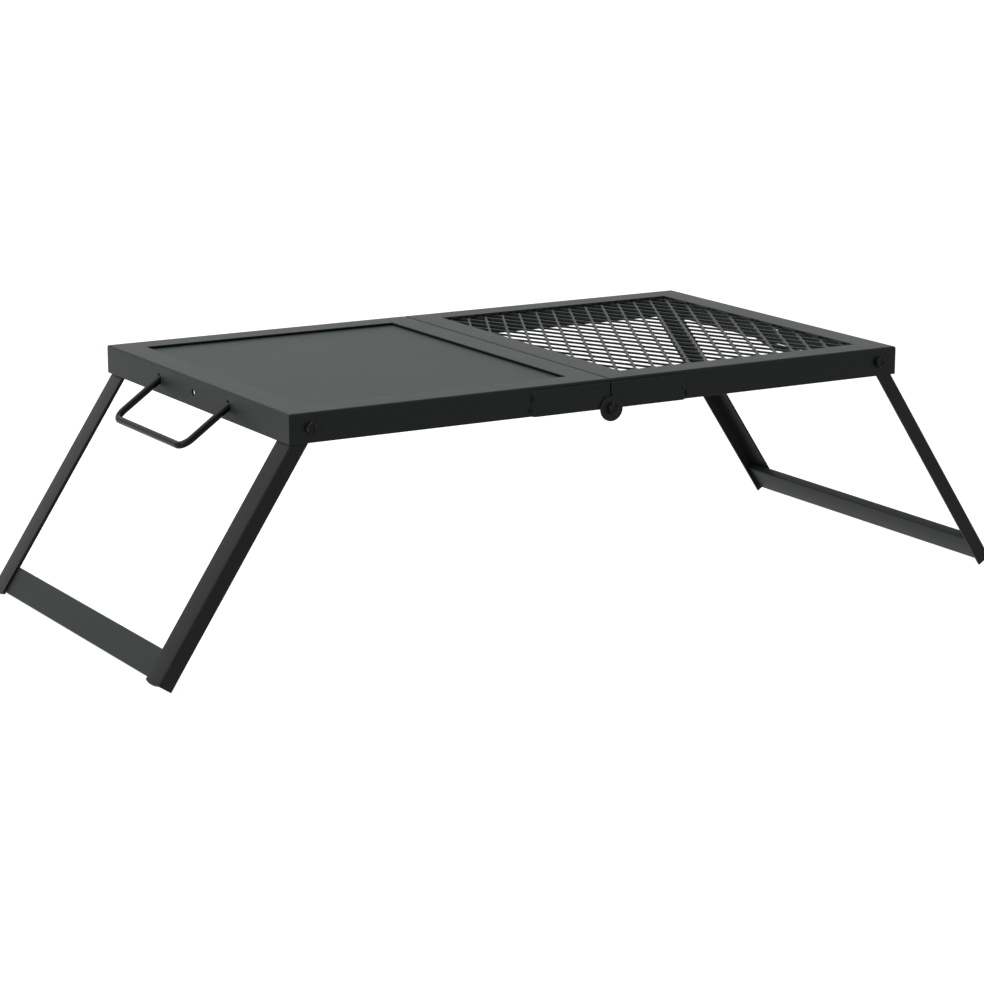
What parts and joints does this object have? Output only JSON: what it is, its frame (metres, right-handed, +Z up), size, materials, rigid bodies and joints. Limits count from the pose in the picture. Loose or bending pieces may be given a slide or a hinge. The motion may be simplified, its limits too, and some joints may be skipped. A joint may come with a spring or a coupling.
{
  "type": "folding camping grill",
  "caption": "Folding camp grill with a flat griddle half and an expanded-metal grate half hinged at the seam, on splayed folding leg frames, with wire carry handles.",
  "frame": {"origin": "centre of the bounding box's bottom face, on the ground, midway between the leg frames and on the seam", "axes": "+X along the deck from the griddle half to the grate half, +Y from front to back, +Z up"},
  "size_m": [1.2734, 0.5704, 0.3258],
  "materials": {
    "black_coat": "semi-matt black coat",
    "griddle_steel": "smooth black coat",
    "black_hardware": "black oxide",
    "gloss_wire": "gloss black coat"
  },
  "bodies": {
    "griddle_half": {"griddle_front_rail": "black_coat", "griddle_back_rail": "black_coat", "griddle_end_rail": "black_coat", "griddle_seam_rail": "black_coat", "griddle_plate": "griddle_steel", "front_griddle_strap": "black_coat", "back_griddle_strap": "black_coat", "front_hinge_washer": "black_hardware", "back_hinge_washer": "black_hardware", "front_hinge_bolt": "black_hardware", "back_hinge_bolt": "black_hardware", "front_hinge_nut": "black_hardware", "back_hinge_nut": "black_hardware"},
    "grate_half": {"grate_front_rail": "black_coat", "grate_back_rail": "black_coat", "grate_end_rail": "black_coat", "grate_seam_rail": "black_coat", "expanded_grate": "black_coat", "front_hinge_disc": "black_coat", "back_hinge_disc": "black_coat", "front_grate_strap": "black_coat", "back_grate_strap": "black_coat"},
    "left_leg_frame": {"front_left_leg": "black_coat", "back_left_leg": "black_coat", "left_crossbar": "black_coat", "front_left_leg_bolt": "black_hardware", "back_left_leg_bolt": "black_hardware", "front_left_leg_nut": "black_hardware", "back_left_leg_nut": "black_hardware"},
    "right_leg_frame": {"front_right_leg": "black_coat", "back_right_leg": "black_coat", "right_crossbar": "black_coat", "front_right_leg_bolt": "black_hardware", "back_right_leg_bolt": "black_hardware", "front_right_leg_nut": "black_hardware", "back_right_leg_nut": "black_hardware"},
    "left_wire_handle": {"left_handle": "gloss_wire"},
    "right_wire_handle": {"right_handle": "gloss_wire"}
  },
  "joints": [
    {"name": "deck_fold", "type": "hinge", "parent": "griddle_half", "child": "grate_half", "pos_m": [0, 0, 0.28766], "axis": [0, 1, 0], "range_deg": [0, 128]},
    {"name": "left_leg_fold", "type": "hinge", "parent": "griddle_half", "child": "left_leg_frame", "pos_m": [-0.42869, 0, 0.30671], "axis": [0, -1, 0], "range_deg": [0, 123.36]},
    {"name": "right_leg_fold", "type": "hinge", "parent": "grate_half", "child": "right_leg_frame", "pos_m": [0.42869, 0, 0.30671], "axis": [0, 1, 0], "range_deg": [0, 123.36]},
    {"name": "left_handle_swing", "type": "hinge", "parent": "griddle_half", "child": "left_wire_handle", "pos_m": [-0.4554, 0, 0.30736], "axis": [0, 1, 0], "range_deg": [0, 70]},
    {"name": "right_handle_swing", "type": "hinge", "parent": "grate_half", "child": "right_wire_handle", "pos_m": [0.4554, 0, 0.30736], "axis": [0, -1, 0], "range_deg": [0, 70]}
  ]
}
